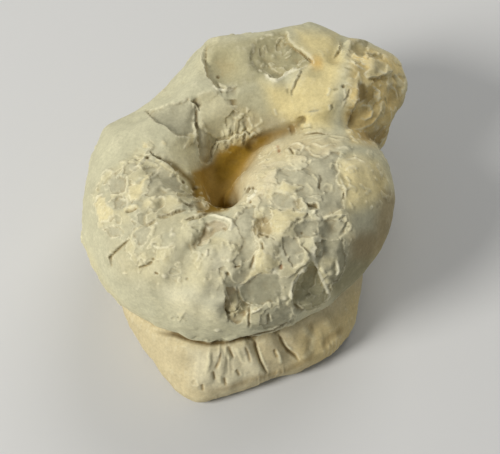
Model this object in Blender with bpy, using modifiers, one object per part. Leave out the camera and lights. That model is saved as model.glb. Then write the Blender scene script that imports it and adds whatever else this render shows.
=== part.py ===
"""Fossil ammonite: the stone cast of one fat, tightly coiled whorl, lying on its worn lower side.

Run with: blender --background --python part.py
Metres, +Z up. The origin is where the coil's axis meets the flat resting face.
"""

import math

import bmesh
import bpy
import numpy as np
from mathutils import Matrix, Vector, noise

MM = 0.001
NAME = "ammonite"

# Driving dimensions, in millimetres.
RING_POINTS = 12  # points round one section of the whorl
WHORL_ROUNDNESS = 2.4  # superellipse exponent of the section
FUSE_VOXEL = 1.0  # grid that melts the pieces together
CUT_VOXEL = 0.9  # grid that takes the cut body
FLOOR_DEPTH = 4.0  # how far the lower side reaches under the resting face before that is cut
TRIANGLES = 9300
SEED_OFFSET = Vector((3.1, 7.7, 1.9))

# Sections of the last whorl, from its start under the mouth, clockwise seen from above, to the mouth:
# (angle, inner radius, outer radius, underside, top).
WHORL = (
    (64, 4.0, 36.0, 8.0, 34.0),
    (44, 2.0, 41.0, 8.0, 40.0),
    (18, 0.5, 43.5, 10.0, 44.5),
    (-8, 0.0, 43.5, 12.0, 47.5),
    (-34, 2.0, 39.5, 12.5, 48.5),
    (-62, 7.0, 37.5, 11.5, 48.0),
    (-90, 10.0, 37.8, 11.5, 48.0),
    (-118, 8.5, 38.3, 11.5, 48.0),
    (-145, 5.0, 39.0, 11.5, 47.5),
    (-172, 4.0, 37.0, 8.0, 47.0),
    (-200, 4.5, 36.5, 4.0, 47.0),
    (-228, 7.0, 41.5, 2.5, 47.0),
    (-252, 10.0, 46.5, 2.0, 48.0),
    (-262, 10.5, 49.3, 2.0, 48.2),
    (-272, 11.5, 49.0, 2.5, 48.0),
    (-288, 12.5, 60.4, 3.0, 48.4),
    (-306, 14.5, 60.0, 3.5, 47.5),
    (-321, 17.0, 57.0, 5.0, 46.5),
    (-331, 20.0, 50.0, 8.0, 44.0),
)

# The lower side, which the whorl sits in: (angle, radius at the foot, radius at the seam under the whorl).
LOWER_EDGE = (
    (0, 36.0, 35.0),
    (-20, 38.0, 34.5),
    (-40, 42.0, 34.0),
    (-60, 40.0, 33.5),
    (-80, 38.6, 34.0),
    (-94, 43.5, 34.5),
    (-104, 45.0, 35.0),
    (-116, 38.5, 35.5),
    (-132, 34.5, 35.5),
    (-150, 32.0, 32.0),
    (-170, 29.0, 29.0),
    (-210, 27.0, 27.0),
    (-240, 31.0, 29.0),
    (-270, 37.0, 34.0),
    (-300, 42.0, 38.0),
    (-325, 41.0, 38.0),
    (-345, 37.0, 35.0),
)
# Its rings: (height, share of the way from the foot to the seam, share of that radius).
LOWER_RINGS = (
    (-FLOOR_DEPTH, 0.0, 0.86),
    (0.5, 0.0, 0.96),
    (4.5, 0.0, 1.0),
    (12.0, 0.5, 1.0),
    (20.0, 1.0, 1.0),
    (28.0, 1.0, 0.8),
)

# The stone left in the hollow: a slab whose top, the hollow's floor, slopes down towards -Y.
HOLLOW_FLOOR_CENTRE = (0.5, 7.9, 26.3)
HOLLOW_FLOOR_SIZE = (24.0, 22.0, 16.0)
HOLLOW_FLOOR_SLOPE = 25.0  # degrees

# Corners of the broken stone at the mouth.
MOUTH_BLOCK = (
    (28.3, 45.2, 43.0), (37.6, 47.8, 36.0), (44.0, 40.6, 38.0), (48.8, 36.8, 34.6), (45.8, 28.9, 33.9),
    (41.6, 19.2, 33.2), (31.0, 17.0, 36.0), (29.0, 22.0, 47.0), (36.0, 29.0, 46.0), (22.0, 30.0, 48.0),
    (43.5, 42.0, 12.0), (34.0, 49.0, 9.0), (37.5, 31.0, 9.0), (28.0, 22.0, 12.0), (22.0, 44.0, 12.0),
)
BLOCK_BEVEL = 2.5

# Broken-off places: (deepest point, outward direction, radius of the curve there).
SCARS = (
    ((-12.3, 30.4, 41.0), (-0.74, 0.57, 0.34), 52.0),  # steep outer break, at the back on the left
    ((-14.0, 27.0, 41.4), (-0.51, 0.31, 0.80), 70.0),  # the broad slope that leads down to it
    ((1.5, 44.7, 37.6), (-0.02, 0.82, 0.57), 40.0),  # outer shoulder, worn
    ((-1.0, 27.0, 45.4), (-0.10, 0.10, 0.99), 12.0),
    ((11.5, 29.5, 45.8), (0.10, 0.05, 0.99), 14.0),
    ((-12.0, 11.5, 46.0), (0.10, 0.05, 0.99), 26.0),
    ((-3.0, 16.0, 43.0), (0.15, -0.30, 0.94), 9.0),
    ((19.2, -27.0, 34.6), (0.42, -0.85, 0.30), 6.2),  # drop-shaped pit on the front
    ((19.8, -26.1, 39.3), (0.42, -0.75, 0.50), 4.0),
    ((6.5, -31.6, 38.2), (0.16, -0.90, 0.41), 14.0),
    ((2.6, -33.0, 34.0), (0.08, -0.98, 0.20), 5.0),
    ((9.0, -21.5, 47.2), (0.05, -0.10, 0.99), 9.0),
    ((22.4, -23.2, 42.0), (0.46, -0.63, 0.63), 7.0),
    ((-2.4, -23.4, 47.0), (0.0, -0.08, 1.0), 6.5),
    ((35.6, 23.8, 40.6), (0.55, -0.60, 0.58), 7.0),  # hollows in the mouth's face
    ((42.4, 29.5, 36.8), (0.75, -0.45, 0.50), 10.0),
)

# Furrows, and with a negative depth ridges: (points, half width, depth).
FURROWS = (
    (((-22.5, 2.5, 46.0), (-17.9, 0.5, 47.1), (-13.0, -3.8, 46.0), (-8.2, -7.7, 43.0)), 3.4, 1.2),
    (((-7.6, 19.0, 46.0), (-7.4, 10.6, 44.1), (-6.9, 6.2, 40.0)), 1.3, 0.4),
    (((-6.0, -11.5, 45.0), (-2.0, -13.5, 45.5), (1.5, -15.0, 46.0)), 1.6, -1.0),
    (((18.5, 20.5, 44.5), (18.8, 14.0, 40.0)), 1.2, 1.0),
    (((20.4, -23.6, 44.6), (18.3, -26.3, 42.0), (15.8, -28.8, 40.0), (14.8, -32.0, 35.5)), 1.5, -1.0),
    (((22.3, -25.3, 40.8), (24.0, -26.8, 36.5)), 1.5, -1.2),
    (((24.6, -23.0, 42.0), (26.4, -25.2, 37.4)), 2.0, -1.7),
    (((6.8, -27.8, 46.0), (6.2, -30.2, 43.0)), 1.6, 1.0),
    (((1.8, -35.2, 38.0), (4.6, -36.0, 33.5)), 1.4, -0.9),
    (((26.0, -16.5, 46.2), (30.0, -16.5, 43.8), (30.6, -19.0, 41.5)), 1.5, -1.1),
    (((29.5, 46.0, 42.0), (29.5, 43.0, 44.0), (29.0, 36.0, 47.0), (27.5, 31.5, 47.5)), 1.8, 1.5),
    (((28.5, 27.0, 47.4), (34.0, 30.0, 47.0), (41.0, 36.5, 41.0)), 2.2, -1.0),
    (((-22.5, -23.5, 43.5), (-26.5, -23.5, 39.5), (-28.0, -25.0, 36.0)), 1.6, 0.8),
    (((-20.0, -28.0, 42.0), (-15.5, -27.5, 44.0)), 1.6, 0.8),
    # the crevice between the last whorl and its start
    (((19.0, 14.0, 43.0), (16.0, 13.0, 41.8), (14.0, 12.5, 40.5), (10.0, 12.5, 38.5), (6.5, 12.0, 37.5)),
     1.4, 1.9),
    # the seam under the whorl
    (((-27.7, -16.0, 12.0), (-23.1, -25.6, 16.0), (-15.6, -31.9, 18.5), (-2.4, -34.9, 18.5),
      (5.9, -33.5, 18.5), (16.8, -29.0, 18.5), (26.8, -20.9, 18.5), (32.4, -11.8, 18.5)), 1.6, 1.3),
    # cracks and ribs of the lower side
    (((6.9, -33.4, 17.5), (8.3, -35.7, 13.7), (10.3, -38.2, 8.0), (10.8, -39.5, 3.0)), 1.4, 1.5),
    (((12.6, -31.0, 17.5), (15.0, -33.3, 12.9), (18.3, -34.9, 8.0)), 1.4, 1.4),
    (((21.8, -28.0, 15.0), (21.6, -32.0, 8.0)), 1.4, 1.2),
    (((25.0, -25.5, 14.0), (28.4, -26.5, 7.5)), 1.4, -1.0),
    (((3.8, -36.5, 13.5), (5.0, -38.5, 9.5)), 1.3, 1.1),
    (((0.2, -35.0, 15.5), (1.2, -38.8, 10.5)), 1.3, 1.0),
    (((-3.8, -35.6, 17.0), (-5.1, -39.4, 12.3), (-5.6, -42.0, 7.0)), 1.4, -0.4),
)

# Crusty parts of the upper surface: (centre, reach, height of the lumps, size of the lumps).
CRUSTS = (
    ((20.0, -10.0, 46.0), 22.0, 0.75, 4.2),
    ((30.0, 0.0, 42.0), 16.0, 0.6, 4.0),
    ((8.0, -24.0, 46.0), 16.0, 0.7, 3.6),
    ((-20.0, -12.0, 46.0), 15.0, 0.5, 3.6),
    ((-14.0, -28.0, 42.0), 16.0, 0.5, 4.0),
    ((38.0, 32.0, 38.0), 17.0, 1.2, 5.0),
    ((6.0, -38.0, 8.0), 26.0, 0.4, 3.6),
)
GRAIN_DEPTH = 0.22
GRAIN_SIZE = 5.5

ROCK_COLOUR = (0.52, 0.48, 0.33, 1.0)
ROCK_ROUGHNESS = 0.88


def new_object(name, mesh):
    """An object with this mesh, in the part's own collection."""
    collection = bpy.data.collections.get(NAME)
    if collection is None:
        collection = bpy.data.collections.new(NAME)
        bpy.context.scene.collection.children.link(collection)
    obj = bpy.data.objects.new(name, mesh)
    collection.objects.link(obj)
    return obj


def settle(obj):
    """The object with its modifiers worked into its mesh."""
    bpy.context.view_layer.update()
    graph = bpy.context.evaluated_depsgraph_get()
    mesh = bpy.data.meshes.new_from_object(obj.evaluated_get(graph))
    obj.modifiers.clear()
    obj.data = mesh
    return obj


def from_bmesh(name, bm):
    """An object that takes over a bmesh."""
    mesh = bpy.data.meshes.new(name)
    bm.to_mesh(mesh)
    bm.free()
    return new_object(name, mesh)


def cage(name, rings):
    """A closed skin over rings of equally many points, rounded by subdivision."""
    bm = bmesh.new()
    loops = [[bm.verts.new(Vector(p) * MM) for p in ring] for ring in rings]
    count = len(rings[0])
    for lower, upper in zip(loops, loops[1:]):
        for i in range(count):
            j = (i + 1) % count
            bm.faces.new((lower[i], lower[j], upper[j], upper[i]))
    bm.faces.new(loops[0][::-1])
    bm.faces.new(loops[-1])
    bmesh.ops.recalc_face_normals(bm, faces=bm.faces)
    obj = from_bmesh(name, bm)
    modifier = obj.modifiers.new("round", "SUBSURF")
    modifier.levels = 2
    modifier.render_levels = 2
    return settle(obj)


def whorl_ring(angle, inner, outer, bottom, top):
    """The points of one section, a superellipse that stands on the coil's radius."""
    swell = 3 / (2 + math.cos(math.tau / RING_POINTS))  # what subdivision takes off again
    half_width = (outer - inner) / 2 * swell
    half_height = (top - bottom) / 2 * swell
    along = Vector((math.cos(math.radians(angle)), math.sin(math.radians(angle)), 0))
    points = []
    for i in range(RING_POINTS):
        t = math.tau * i / RING_POINTS
        c, s = math.cos(t), math.sin(t)
        reach = (abs(c) ** WHORL_ROUNDNESS + abs(s) ** WHORL_ROUNDNESS) ** (-1 / WHORL_ROUNDNESS)
        radius = (inner + outer) / 2 + half_width * c * reach
        points.append(along * radius + Vector((0, 0, (bottom + top) / 2 + half_height * s * reach)))
    return points


def lower_ring(height, rise, share):
    """The lower side's outline at one height."""
    points = []
    for angle, foot, seam in LOWER_EDGE:
        a = math.radians(angle)
        radius = (foot + (seam - foot) * rise) * share
        points.append((radius * math.cos(a), radius * math.sin(a), height))
    return points


def hollow_floor():
    """The sloping slab of stone under the hollow."""
    size = Matrix.Diagonal(Vector(HOLLOW_FLOOR_SIZE) * MM).to_4x4()
    slope = Matrix.Rotation(math.radians(HOLLOW_FLOOR_SLOPE), 4, "X")
    bm = bmesh.new()
    place = Matrix.Translation(Vector(HOLLOW_FLOOR_CENTRE) * MM)
    bmesh.ops.create_cube(bm, matrix=place @ slope @ size)
    return from_bmesh("hollow_floor", bm)


def mouth_block():
    """The angular lump that ends the whorl."""
    bm = bmesh.new()
    for corner in MOUTH_BLOCK:
        bm.verts.new(Vector(corner) * MM)
    bmesh.ops.convex_hull(bm, input=bm.verts)
    bmesh.ops.bevel(bm, geom=bm.edges[:], offset=BLOCK_BEVEL * MM, segments=2, profile=0.5, affect="EDGES")
    return from_bmesh("mouth_block", bm)


def remeshed(obj, voxel):
    """The object's surface on an even grid."""
    modifier = obj.modifiers.new("grid", "REMESH")
    modifier.mode = "VOXEL"
    modifier.voxel_size = voxel * MM
    return settle(obj)


def fused(name, pieces):
    """One closed body made of overlapping pieces."""
    bm = bmesh.new()
    for piece in pieces:
        bm.from_mesh(piece.data)
        bpy.data.objects.remove(piece)
    return remeshed(from_bmesh(name, bm), FUSE_VOXEL)


def cut_scars(body):
    """Take a ball off the body at each broken-off place."""
    for deepest, direction, radius in SCARS:
        centre = Vector(deepest) + Vector(direction).normalized() * radius
        bm = bmesh.new()
        place = Matrix.Translation(centre * MM)
        bmesh.ops.create_icosphere(bm, subdivisions=6, radius=radius * MM, matrix=place)
        ball = from_bmesh("ball", bm)
        modifier = body.modifiers.new("scar", "BOOLEAN")
        modifier.operation = "DIFFERENCE"
        modifier.solver = "EXACT"
        modifier.object = ball
        settle(body)
        bpy.data.objects.remove(ball)
    return remeshed(body, CUT_VOXEL)


def distance_to_path(points, path):
    """Each point's distance to a line of straight pieces."""
    best = np.full(len(points), np.inf)
    for start, end in zip(path, path[1:]):
        a, b = np.array(start), np.array(end)
        along = np.clip((points - a) @ (b - a) / ((b - a) @ (b - a)), 0, 1)
        best = np.minimum(best, np.linalg.norm(points - a - along[:, None] * (b - a), axis=1))
    return best


def bump(distance, reach):
    """A smooth hump: one at no distance, nothing beyond the reach."""
    share = np.clip(1 - (distance / reach) ** 2, 0, 1)
    return share ** 2


def lumps(points, size):
    """Noise between about -1 and 1 with lumps of this size."""
    return np.array([noise.noise(Vector(p) / size + SEED_OFFSET) for p in points]) * 1.8


def sculpt(body):
    """Furrows, ridges, crusts and a general unevenness, all along the surface normals."""
    mesh = body.data
    count = len(mesh.vertices)
    points = np.empty(count * 3)
    normals = np.empty(count * 3)
    mesh.vertices.foreach_get("co", points)
    mesh.vertices.foreach_get("normal", normals)
    points = points.reshape(-1, 3) / MM
    normals = normals.reshape(-1, 3)
    lift = lumps(points, GRAIN_SIZE) * GRAIN_DEPTH
    for path, half_width, depth in FURROWS:
        lift -= bump(distance_to_path(points, path), half_width * 1.6) * depth
    for centre, reach, height, size in CRUSTS:
        weight = bump(np.linalg.norm(points - np.array(centre), axis=1), reach)
        lift += lumps(points, size) * weight * height
    points += normals * lift[:, None]
    mesh.vertices.foreach_set("co", (points * MM).ravel())
    mesh.update()
    return body


def thinned(body):
    """The body with few enough triangles to keep, and its resting face cut flat."""
    modifier = body.modifiers.new("thin", "DECIMATE")
    modifier.ratio = TRIANGLES / (2 * len(body.data.vertices))
    settle(body)
    bm = bmesh.new()
    bm.from_mesh(body.data)
    everything = bm.verts[:] + bm.edges[:] + bm.faces[:]
    cut = bmesh.ops.bisect_plane(bm, geom=everything, plane_co=(0, 0, 0), plane_no=(0, 0, 1), clear_inner=True)
    rim = [part for part in cut["geom_cut"] if isinstance(part, bmesh.types.BMEdge)]
    bmesh.ops.contextual_create(bm, geom=rim)
    bm.to_mesh(body.data)
    bm.free()
    return body


def rock():
    """Pale limestone."""
    material = bpy.data.materials.new("limestone")
    material.use_nodes = True
    shader = material.node_tree.nodes["Principled BSDF"]
    shader.inputs["Base Color"].default_value = ROCK_COLOUR
    shader.inputs["Roughness"].default_value = ROCK_ROUGHNESS
    shader.inputs["Metallic"].default_value = 0.0
    return material


def main():
    for obj in list(bpy.data.objects):
        bpy.data.objects.remove(obj)
    whorl = cage("whorl", [whorl_ring(*section) for section in WHORL])
    lower = cage("lower_side", [lower_ring(*ring) for ring in LOWER_RINGS])
    body = fused(NAME, [whorl, lower, hollow_floor(), mouth_block()])
    thinned(sculpt(cut_scars(body)))
    body.data.materials.clear()
    body.data.materials.append(rock())
    body.data.shade_smooth()


main()
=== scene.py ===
"""Looks for the ammonite fossil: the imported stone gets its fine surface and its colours, a floor and lights.

The tables and the sculpting are in millimetres, Blender's own calls in metres. Places on the side that the
photograph shows are given in its pixels, and are laid on the stone along the rays of the camera, which has
the photograph's viewing angle. Places on the other sides are given by angle round the coil and height. The
tables write a place as "x,y" and a line or an outline as its places with spaces between.
"""

import math

import bpy
import numpy as np
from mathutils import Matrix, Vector, noise
from mathutils.bvhtree import BVHTree


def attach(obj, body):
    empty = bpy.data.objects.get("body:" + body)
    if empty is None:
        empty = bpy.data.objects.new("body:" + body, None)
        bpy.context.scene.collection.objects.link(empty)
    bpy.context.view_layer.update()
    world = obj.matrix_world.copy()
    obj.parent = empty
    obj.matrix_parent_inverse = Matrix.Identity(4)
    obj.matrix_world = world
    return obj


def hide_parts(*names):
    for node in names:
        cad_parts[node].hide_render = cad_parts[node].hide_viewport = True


MM = 0.001

# The photograph's view.
FRAME_WIDTH, FRAME_HEIGHT = 500, 454
VIEW_ELEVATION = math.radians(55.0)
VIEW_DISTANCE = 380.0
AIM = np.array((6.0, -5.0, 25.0))
PIXEL = 0.25  # millimetres a pixel covers at AIM
SENSOR = 36.0
BACK = np.array((0.0, -math.cos(VIEW_ELEVATION), math.sin(VIEW_ELEVATION)))
RIGHT = np.array((1.0, 0.0, 0.0))
UP = np.cross(BACK, RIGHT)
EYE = AIM + BACK * VIEW_DISTANCE

# The fine mesh.
VOXEL = 0.28
SMOOTHING = 0.5
SMOOTHING_ROUNDS = 60
TRIANGLES = 190000
HIDDEN_SHARE = 0.22  # of the hidden side's triangles that stay
HIDDEN_BELOW = 0.05  # a point less in view than this is on the hidden side

# How drawn places are found on the stone.
TRACE_STEP = 2.0  # pixels between the points of a traced line
LINE_GAP = 1.2  # traced points further apart than this are on different faces of the stone
FACING = 0.02  # how far a surface has to face the camera to count as in view
CLEAR_OF_SURFACE = 0.3  # mm above the surface at which the look towards the camera starts
VIEW_EVENING = 4  # rounds of evening at the edge of what is in view
SHAKE_SIZE = 1.1  # mm, of the lumps that keep an outline from being quite straight
SHAKE_SEEDS = (5.0, 9.0)
TIE = 1e-6  # pixels by which a later piece of a path has to be nearer to be the nearest
OUTSIDE = 100.0  # mm from the coil's axis to where the level rays start

NOISE_GAIN = 1.6  # brings Blender's noise to about -1 to 1

# Colours of the stone in full light, as sRGB values.
TONES = {
    "smooth": (199, 195, 163),
    "cream": (213, 202, 158),
    "white": (236, 230, 200),
    "tan": (206, 191, 150),
    "yellow": (226, 208, 147),
    "grey": (180, 175, 147),
    "ash": (174, 169, 141),
    "scar": (174, 167, 130),
    "block": (227, 202, 136),
    "brown": (150, 124, 74),
    "ochre": (163, 127, 38),
    "umber": (122, 94, 18),
    "lip": (230, 223, 190),
    "dark": (104, 86, 50),
    "orange": (210, 170, 90),
    "rust": (156, 116, 84),
    "pale": (210, 202, 164),
    "olive": (152, 145, 110),
    "slate": (152, 148, 122),
}


def points_of(text):
    """The points that a text such as "12,30 14,32.5" names."""
    return [tuple(float(value) for value in place.split(",")) for place in text.split()]


def drawn(*rows):
    """A table with the text at the end of each row turned into points. Several texts make as many rows."""
    return [
        (*values, points_of(text))
        for *values, last in rows
        for text in ((last,) if isinstance(last, str) else last)
    ]


# Where the surface is rough and flaky: (roughness 0 to 1, softness of its edge in pixels, outline).
ROUGH_ZONES = drawn(
    (0.55, 8, "92,196 108,172 150,142 180,165 205,192 212,212 175,235 130,225 100,225"),
    (0.36, 10, "104,226 210,215 240,250 232,284 160,288 114,272"),
    (0.23, 8, "118,280 160,286 232,284 228,330 170,322"),
    (0.6, 6, "226,118 240,106 256,114 266,130 256,142 230,150 212,152"),
    (0.52, 9, "262,150 330,140 350,148 348,200 354,222 342,262 330,305 270,330 240,325 205,250 225,215 "
     "250,200"),
    (0.28, 8, "350,145 395,150 396,200 376,212 350,208"),
    (0.4, 8, "335,44 404,60 404,90 388,145 352,142 340,100 352,70"),
    (0.42, 6, "252,42 288,30 314,63 284,77 256,69"),
)

# The lobe's right side, painted lighter as painted light.
LOBE_SIDE_PAINTED_LIGHT = "342,160 362,158 374,172 374,200 352,202 342,184"

# Broad colours, among them painted shade and painted light where marked: (tone, strength, softness in pixels,
# outline).
COLOUR_ZONES = drawn(
    ("smooth", 0.9, 12, "206,40 165,85 120,116 90,150 80,210 100,280 150,330 170,300 120,240 110,190 "
     "150,140 200,100"),
    ("scar", 0.85, 5, "206,45 250,38 286,30 312,63 284,77 268,80 238,86 214,86"),
    ("yellow", 0.8, 10, "262,84 290,86 312,62 298,44 296,30 336,34 342,60 336,90 330,128 300,128 270,112"),
    ("block", 0.95, 7, "352,40 404,62 404,100 386,146 352,142 344,118 350,84 352,62"),
    ("grey", 0.5, 14, "235,214 256,204 296,240 286,320 236,332 206,290 212,240"),
    ("tan", 0.8, 10, "246,148 275,141 300,136 345,138 330,155 282,165 270,200 232,206 222,196"),
    ("yellow", 0.75, 9, "342,164 350,157 364,158 378,162 389,182 385,191 368,204 348,204 343,182"),
    ("grey", 0.6, 12, "320,215 372,205 392,225 372,262 330,300 312,250"),
    ("pale", 0.8, 10, "112,258 150,250 205,262 210,286 165,290 120,275"),
    # painted shade in the crevice under the arch
    ("brown", 0.6, 4, "256,138 270,132.5 288,127 298,122 300,126 294,132 275,140 258,150 252,146"),
    ("scar", 0.5, 10, "226,92 262,84 275,112 262,128 235,112"),
    ("olive", 0.4, 6, "178,172 190,168 194,190 198,213 184,206 176,190"),
    # painted light on the lobe's right side, and the yellow tint of the stone there
    ("white", 0.5, 8, LOBE_SIDE_PAINTED_LIGHT),
    ("yellow", 0.35, 8, LOBE_SIDE_PAINTED_LIGHT),
    # painted shade on the lobe's far right and the front right, which turn away from the light;
    # the middle one of these outlines also holds a darker stain
    ("brown", 0.25, 7, "374,166 384,168 390,196 380,198 372,184"),
    ("brown", 0.6, 9, "380,192 400,190 400,230 372,268 350,262 350,236 374,230"),
    ("olive", 0.85, 9, "330,262 372,258 376,300 350,318 328,290"),
    # painted light on the front's middle and on the cream fan, which face away from the light
    ("white", 0.7, 8, "206,252 240,248 244,280 212,286"),
    ("white", 0.8, 6, "258,246 282,258 276,274 250,280 252,262"),
    ("ash", 0.5, 14, "86,190 110,170 150,175 190,215 190,250 170,300 130,300 100,260"),
    ("white", 0.35, 8, "162,288 222,286 226,324 180,324"),
    # painted light over the lobe's middle, against the shade of its cracks
    ("white", 0.3, 12, "262,165 325,150 345,200 345,235 316,250 262,300 232,320 215,280 228,230"),
    ("yellow", 0.45, 9, "338,166 370,168 380,190 372,208 350,212 336,196"),
    ("cream", 0.4, 7, "252,212 292,206 300,222 290,236 262,236 252,226"),
    ("smooth", 0.7, 9, "150,300 200,316 250,322 298,310 300,320 262,332 212,342 165,332"),
    ("brown", 0.35, 8, "236,104 262,116 300,120 302,134 268,142 234,136 230,110"),
    ("ochre", 0.85, 3, "192,172 205,168 213,163 217,153 222,145 231,143 241,138 256,138 264,140 258,148 "
     "253,152 247,161 242,173 235,186 230,198 228,210 214,212 205,214 198,213 194,196"),
    # the hollow's stain, darkened with painted shade in its depths, on its left wall and along its front edge
    ("umber", 0.85, 4, "270,135 254,138 240,140 229,147 219,157 214,172 218,184 231,178 242,166 252,153 "
     "263,145"),
    ("umber", 0.4, 5, "190,172 204,166 208,190 212,204 200,212 190,196"),
    ("umber", 0.75, 2, "196,204 212,205 230,203 231,208 222,211 208,212 198,212"),
    # painted shade along the lobe's upper left edge, beside the hollow
    ("brown", 0.4, 6, "240,164 252,150 264,145 258,158 246,176 237,194 230,198"),
)

# The same on the lower side, over its tan.
LEDGE_ZONES = drawn(
    ("lip", 0.6, 9, "190,350 250,346 268,374 222,394 194,384"),
    ("block", 0.45, 10, "296,336 345,308 352,290 372,300 366,342 330,366 296,366"),
)

# Broken-off places and crusts: (tone, strength, height in mm, softness of the edge in pixels, outlines).
PATCHES = drawn(
    # the large scars at the top left, smooth or grey
    ("ash", 0.7, -0.3, 1.6, "145,110.5 153,119.5 166,128 178,136 190.5,137 194,131.5 194,119.5 195,109.5 "
     "191.5,100.5 188,99 178,103 167,105 157,109.5"),
    ("pale", 0.7, 0.15, 1.8, "198,94 213,90.5 220.5,95 226,100.5 231.7,103 232.8,114 231.7,123 229.4,132 "
     "226,137 216,138 206,132 200.5,122 198,108"),
    # painted shade on the steep wall that drops away beside the scar
    ("brown", 0.3, -0.1, 1.5, "196,123 206,132 210.5,143 208,162 201.7,163 196.7,147"),
    # the mottled recess at the top
    ("olive", 0.55, -0.25, 3.5, "255,42 265,36 280,31 286,34 289,42 295,49 305,56 312,63 305,67 295,69 "
     "285,74 278,79 273,78 267,73 257,69 252,63 251,55 254,47"),
    # grey patches on the left flank, where the crust is gone
    ("grey", 0.75, 0.0, 1.0, ("109,178 125,178 126.5,185 125,191 118,194.5 111,194 109,186",
     "112,200 118,195 126,196 128,202 123,209 115,210", "129,164 137,163 139,168 135,171 130,170",
     "132,235 135,230 145,225 151,228 149,235 145,244 139,248 133,241",
     "102,229 114,226 123,230 120,238 110,237")),
    ("grey", 0.4, 0.0, 1.2, ("153,172 163,168 176,176 182,186 174,195 160,196 150,196 147,188",
     "243,191 248,186 255,187 255,193 249,197 243,196",
     "243,240 252,238 256,246 252,256 247,262 238,266 232,262 238,254")),
    # cream crusts on the left flank
    ("cream", 0.95, 0.1, 1.0, (
     "129,187 135,183 140,184 143,178 153,172 145,182 142,190 139,199 131,200 128,194",
     "94,204 99,198 105,197 106,204 113,210 113,216 105,220 100,221 98,215",
     "123,208 131,205 139,205 139,209 131,211 123,212", "190,134 195,134 193,143 184,149 186,143",
     "143,142 148,143 148,148 143,147", "162,141 166,142 166,145 162,145")),
    # grey patches on the lobe
    ("grey", 0.75, -0.05, 1.2, ("278,169 287,164 296,169 307,168 313,159 323,158 332,152 340,153 336,163 "
     "338,172 337,182 342,191 340,202 342,208 332,214 322,217 317,207 307,204 303,198 296,192 302,187 "
     "292,182 284,180 279,185 276,182", "272,195 277,191 294,197 296,204 292,208 288,209 279,209 273,205",
     "232,223 246,207 255,205 254,218 250,227 252,238 245,245 236,227",
     "319,220 347,222 345,232 338,239 320,238", "298,226 306,220 318,222 318,236 306,238 297,236",
     "282,236 297,238 298,243 304,250 303,262 293,268 285,256")),
    # cream patches on the lobe
    ("cream", 0.95, 0.1, 1.0, (
     "282,182 284,180 287,183 293,185 297,187 302,185 299,188 294,192 288,193 280,189",
     "269,208 274,209 278,208 280,212 287,209 292,208 294,212 303,212 307,213 304,217 296,219 292,224 "
     "287,232 274,232 270,223 273,215",
     "260,243 264,252 271,256 275,260 281,262 279,266 275,268 267,274 260,274 255,276 250,278 245,283 "
     "241,285 249,276 254,270 255,256 259,250")),
    # brown hollows on the lobe and in front
    ("brown", 0.5, -0.1, 3.5, "253,227 256,218 267,215 270,223 272,232 267,237 258,238 252,232"),
    ("dark", 0.6, -0.5, 1.0, "307,204 317,204 318,209 310,209"),
    ("rust", 0.25, -0.3, 2.0, "205,223 215,219 223,221 228,226 226,231 220,230 214,233 208,240 202,246 "
     "198,244 203,233"),
    # the first of these outlines is a grey scar, darkened in part as painted shade on the front right
    ("slate", 0.5, 0.0, 2.0, ("322,240 346,238 347,262 339,284 330,280 324,262",
     "250,315 262,313 276,307 290,306 292,318 286,325 262,331 250,331")),
    ("slate", 0.85, 0.0, 1.2, "239,288 247,283 254,277 261,274 270,275 277,274 280,283 283,290 281,297 "
     "275,302 267,302 261,306 250,305 243,302 240,295"),
    ("brown", 0.55, -0.2, 1.5, "227,288 235,287 239,296 241,301 247,306 249,311 245,314 241,322 237,325 "
     "231,321 228,318 229,314 225,310 224,304 226,297"),
    ("white", 0.9, 0.3, 0.8, ("251,311 262,308 259,311 252,313", "204,253 208,249 208,254 206,257")),
    ("scar", 0.8, -0.1, 1.3, "310,259 305,265 296,274 293,280 291,287 290,296 291,303 296,307 301,310 "
     "310,311 319,308 325,301 330,296 327,288 322,279 318,270 315,262"),
    # the block at the mouth
    ("olive", 0.7, -0.3, 1.8, ("352,44 360,39 370,41 368,47 366,53 363,57 357,55 350,49",
     "368,53 382,53 383,58 369,58")),
    ("cream", 0.6, 0.15, 1.4, "360,60 372,59 385,63 393,72 385,74 375,78 367,78 365,73 370,68 363,63"),
    ("brown", 0.15, -0.2, 2.5, "358,81 368,87 378,78 400,75 407,77 403,88 402,103 395,119 387,136 380,145 "
     "372,140 355,139 348,127 348,119 353,104 357,100"),
    # painted shade in the block's narrow recess, and along its lower edge in the second outline of the next
    # row
    ("brown", 0.6, -0.1, 1.6, "357,83 363,85 367,91 366,97 361,103 357,102 358,92"),
    ("brown", 0.6, -0.1, 3.0, ("346,112 352,110 353,122 348,128",
     "357,131 370,133 384,126 388,134 380,145 362,141")),
)

# Soft mounds and hollows: (radius in mm, height in mm, their places in pixels).
SWELLS = drawn(
    (5.5, 0.5, "216,114 365,170"),
    (4.5, 0.6, "243,224 361,198 285,226"),
    (3.5, 0.45, "300,252 166,244 150,190 112,214 265,262 302,176"),
    (2.6, 0.5, "329,270 263,210 232,296 258,320 349,43 345,150"),
    (4.5, -0.5, "326,248 176,162 270,54 164,284"),
    (4.0, 0.5, "142,282 190,306 272,83 292,66"),
    (2.0, 0.5, "354,100 381,97 394,84 379,82 352,133 373,66"),
    (1.9, -0.5, "366,112"),
    (5.2, -0.9, "223,67"),
    (2.0, -0.5, "281,42 296,60"),
    (1.8, 0.4, "271,55 288,52 283,68 260,62"),
    (3.2, -0.5, "360,48 332,229"),
    (3.0, -0.7, "309,271"),
    (5.0, 1.4, "306,289"),
    (3.0, 1.4, "235,303"),
    (4.0, 2.4, "231,203"),
    (3.0, -0.4, "290,176 330,176 282,200 118,186 120,203 375,56 212,230"),
)

# Cracks on the left flank, each with its higher side on the right of a walk from its first point to its last.
FLANK_CRACKS = (
    "129.5,239 120,247 110,256.5 111.5,267", "153,261 146,265 138,267.5", "155,220 149,223 145,225",
    "187,210 176,211.5 169,214.5 157,216", "208,213 198,217 193,217 185,220", "139,209 132,210.5 125,212",
)

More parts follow.
